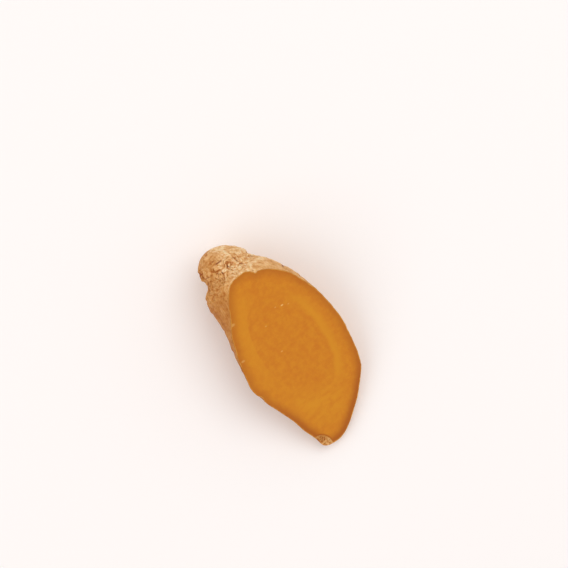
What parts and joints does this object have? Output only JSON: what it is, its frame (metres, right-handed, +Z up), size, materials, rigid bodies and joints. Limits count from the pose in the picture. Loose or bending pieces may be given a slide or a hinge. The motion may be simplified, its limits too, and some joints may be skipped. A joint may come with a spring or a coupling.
{
  "type": "turmeric root",
  "caption": "Fresh turmeric finger with a blunt knob, cut on a long slant that shows its orange flesh; a cooking or display vegetable that lies on a surface.",
  "frame": {"origin": "on the surface that the root lies on, under the middle of its bounding box", "axes": "+X runs along the finger from the knob to the cut tip, +Z up, +Y across, to the left of someone looking along +X"},
  "size_m": [0.0578, 0.0286, 0.0214],
  "materials": {
    "root": "moist orange flesh on the cut, matt tan papery skin elsewhere"
  },
  "bodies": {
    "root": {"turmeric_root": "root"}
  },
  "joints": []
}
